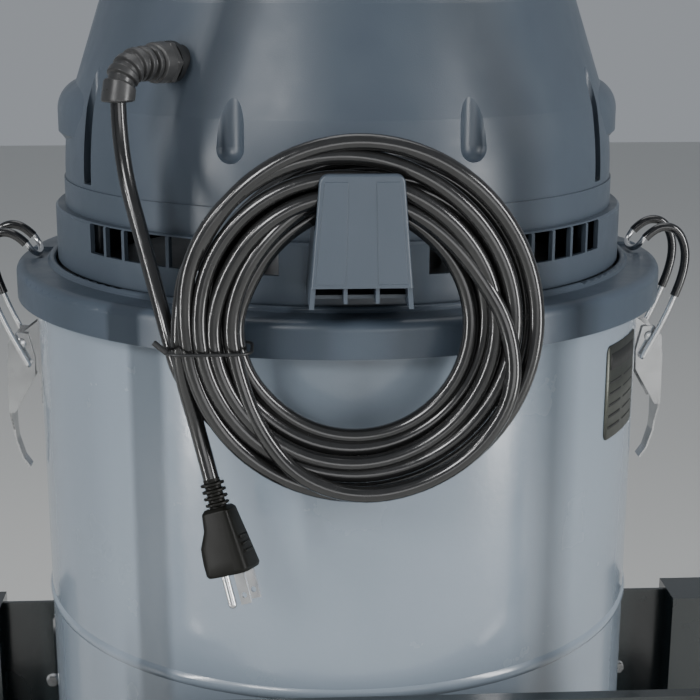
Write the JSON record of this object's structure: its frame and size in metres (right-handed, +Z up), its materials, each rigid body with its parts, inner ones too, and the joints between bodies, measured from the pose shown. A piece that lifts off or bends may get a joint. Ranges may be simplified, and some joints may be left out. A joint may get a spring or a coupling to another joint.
{
  "type": "shop vacuum",
  "caption": "Wet and dry shop vacuum: steel drum with a latched plastic motor head and coiled mains cord, on a wheeled sheet-steel trolley.",
  "frame": {"origin": "on the floor under the middle of the machine", "axes": "+Z up, +Y toward the hose inlet, -Y toward the cord hook"},
  "size_m": [0.576, 0.532, 0.92],
  "materials": {
    "motor_plastic": "satin moulded",
    "lid_plastic": "satin moulded",
    "drum_paint": "glossy enamel",
    "trolley_paint": "glossy enamel",
    "zinc_steel": "bright zinc plate",
    "black_rubber": "satin",
    "tyre_rubber": "matt",
    "black_plastic": "matt",
    "label_metal": "satin",
    "cloth": "woven",
    "motor_metal": "cast",
    "float_plastic": "glossy"
  },
  "bodies": {
    "machine": {"caster_plate_left": "zinc_steel", "caster_plate_right": "zinc_steel", "cord_boot": "black_rubber", "cord_coil": "black_rubber", "cord_gland": "black_plastic", "cord_hook": "motor_plastic", "cord_lead": "black_rubber", "cord_tail": "black_rubber", "cord_tie": "black_plastic", "dome_screws": "zinc_steel", "drum": "drum_paint", "filter_cloth": "cloth", "filter_ring": "black_plastic", "float_cage": "black_plastic", "handle_grip": "black_rubber", "head_dome": "motor_plastic", "inlet_deflector": "black_plastic", "inlet_flange": "black_plastic", "inlet_gasket": "black_rubber", "inlet_screws": "zinc_steel", "latch_base_left": "zinc_steel", "latch_base_right": "zinc_steel", "latch_pin_left": "zinc_steel", "latch_pin_right": "zinc_steel", "lid_gasket": "black_rubber", "lid_ring": "lid_plastic", "motor_casing": "motor_metal", "motor_frame": "motor_metal", "motor_plate": "motor_metal", "plug_body": "black_rubber", "plug_prongs": "zinc_steel", "push_handle": "trolley_paint", "rating_plate": "label_metal", "rear_axle": "zinc_steel", "switch_panel": "black_plastic", "trolley_bolts": "zinc_steel", "trolley_cheek_left": "trolley_paint", "trolley_cheek_right": "trolley_paint", "trolley_deck": "trolley_paint", "trolley_front_panel": "trolley_paint", "trolley_rear_panel": "trolley_paint", "vent_ring": "motor_plastic"},
    "lever_left": {"latch_lever_left": "zinc_steel"},
    "bail_left": {"latch_bail_left": "zinc_steel", "latch_sleeves_left": "black_plastic"},
    "rear_wheel_left": {"wheel_left": "black_plastic", "tyre_left": "tyre_rubber"},
    "caster_left": {"caster_fork_left": "zinc_steel"},
    "caster_roller_left": {"caster_wheel_left": "tyre_rubber"},
    "lever_right": {"latch_lever_right": "zinc_steel"},
    "bail_right": {"latch_bail_right": "zinc_steel", "latch_sleeves_right": "black_plastic"},
    "rear_wheel_right": {"wheel_right": "black_plastic", "tyre_right": "tyre_rubber"},
    "caster_right": {"caster_fork_right": "zinc_steel"},
    "caster_roller_right": {"caster_wheel_right": "tyre_rubber"},
    "rocker": {"power_rocker": "black_plastic"},
    "rotor": {"motor_rotor": "motor_metal"},
    "ball": {"float_ball": "float_plastic"}
  },
  "joints": [
    {"name": "lever_left_turn", "type": "hinge", "parent": "machine", "child": "lever_left", "pos_m": [-0.2214, 0, 0.52], "axis": [0, 1, 0], "range_deg": [0, 150]},
    {"name": "bail_left_turn", "type": "hinge", "parent": "lever_left", "child": "bail_left", "pos_m": [-0.2159, 0, 0.506], "axis": [0, 1, 0], "range_deg": [-210, 0]},
    {"name": "rear_wheel_left_spin", "type": "hinge", "parent": "machine", "child": "rear_wheel_left", "pos_m": [-0.27, -0.168, 0.09], "axis": [1, 0, 0], "continuous": true},
    {"name": "caster_left_swivel", "type": "hinge", "parent": "machine", "child": "caster_left", "pos_m": [-0.17, 0.16, 0.095], "axis": [0, 0, 1], "continuous": true},
    {"name": "caster_left_spin", "type": "hinge", "parent": "caster_left", "child": "caster_roller_left", "pos_m": [-0.17, 0.132, 0.0375], "axis": [1, 0, 0], "continuous": true},
    {"name": "lever_right_turn", "type": "hinge", "parent": "machine", "child": "lever_right", "pos_m": [0.2214, 0, 0.52], "axis": [0, -1, 0], "range_deg": [0, 150]},
    {"name": "bail_right_turn", "type": "hinge", "parent": "lever_right", "child": "bail_right", "pos_m": [0.2159, 0, 0.506], "axis": [0, -1, 0], "range_deg": [-210, 0]},
    {"name": "rear_wheel_right_spin", "type": "hinge", "parent": "machine", "child": "rear_wheel_right", "pos_m": [0.27, -0.168, 0.09], "axis": [1, 0, 0], "continuous": true},
    {"name": "caster_right_swivel", "type": "hinge", "parent": "machine", "child": "caster_right", "pos_m": [0.17, 0.16, 0.095], "axis": [0, 0, 1], "continuous": true},
    {"name": "caster_right_spin", "type": "hinge", "parent": "caster_right", "child": "caster_roller_right", "pos_m": [0.17, 0.132, 0.0375], "axis": [1, 0, 0], "continuous": true},
    {"name": "rocker_turn", "type": "hinge", "parent": "machine", "child": "rocker", "pos_m": [0, 0.166, 0.71], "axis": [1, 0, 0], "range_deg": [-8, 8]},
    {"name": "rotor_spin", "type": "hinge", "parent": "machine", "child": "rotor", "pos_m": [0, 0, 0.68], "axis": [0, 0, 1], "continuous": true},
    {"name": "float_lift", "type": "slide", "parent": "machine", "child": "ball", "axis": [0, 0, 1], "range_m": [0, 0.0338]}
  ],
  "couplings": [
    {"joint": "bail_left_turn", "follows": "lever_left_turn", "ratio": -1.4},
    {"joint": "bail_right_turn", "follows": "lever_right_turn", "ratio": -1.4}
  ]
}
